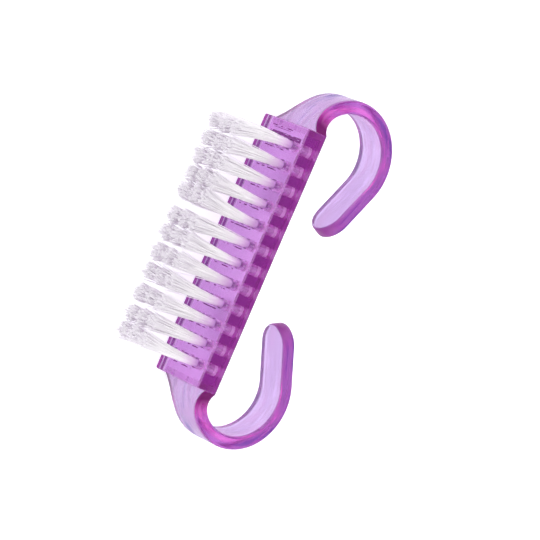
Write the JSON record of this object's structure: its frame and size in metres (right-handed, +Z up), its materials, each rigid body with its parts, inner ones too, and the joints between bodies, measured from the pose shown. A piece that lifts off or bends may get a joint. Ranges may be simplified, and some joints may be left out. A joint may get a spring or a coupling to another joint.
{
  "type": "nail brush",
  "caption": "Small nail brush with a see-through plastic block, rows of white tufts on its front and a hook-shaped finger grip at each end of its back.",
  "frame": {"origin": "under the middle of the whole brush, on the surface that it lies on", "axes": "+X along the block, -Y the way the bristles point, +Y the way the hooks point, +Z up through the block's width, with the brush lying on one long side"},
  "size_m": [0.0654, 0.0351, 0.0139],
  "materials": {
    "violet_plastic": "see-through violet polystyrene, injection moulded and glossy",
    "white_nylon": "white nylon filaments with trimmed ends",
    "staple_wire": "flat drawn wire, dull"
  },
  "bodies": {
    "root": {"brush_body": "violet_plastic", "tuft_01_lower": "white_nylon", "tuft_01_middle": "white_nylon", "tuft_01_upper": "white_nylon", "tuft_02_lower": "white_nylon", "tuft_02_middle": "white_nylon", "tuft_02_upper": "white_nylon", "tuft_03_lower": "white_nylon", "tuft_03_middle": "white_nylon", "tuft_03_upper": "white_nylon", "tuft_04_lower": "white_nylon", "tuft_04_middle": "white_nylon", "tuft_04_upper": "white_nylon", "tuft_05_lower": "white_nylon", "tuft_05_middle": "white_nylon", "tuft_05_upper": "white_nylon", "tuft_06_lower": "white_nylon", "tuft_06_middle": "white_nylon", "tuft_06_upper": "white_nylon", "tuft_07_lower": "white_nylon", "tuft_07_middle": "white_nylon", "tuft_07_upper": "white_nylon", "tuft_08_lower": "white_nylon", "tuft_08_middle": "white_nylon", "tuft_08_upper": "white_nylon", "tuft_09_lower": "white_nylon", "tuft_09_middle": "white_nylon", "tuft_09_upper": "white_nylon", "tuft_10_lower": "white_nylon", "tuft_10_middle": "white_nylon", "tuft_10_upper": "white_nylon", "tuft_11_lower": "white_nylon", "tuft_11_middle": "white_nylon", "tuft_11_upper": "white_nylon", "tuft_12_lower": "white_nylon", "tuft_12_middle": "white_nylon", "tuft_12_upper": "white_nylon", "anchor_staples": "staple_wire"}
  },
  "joints": []
}
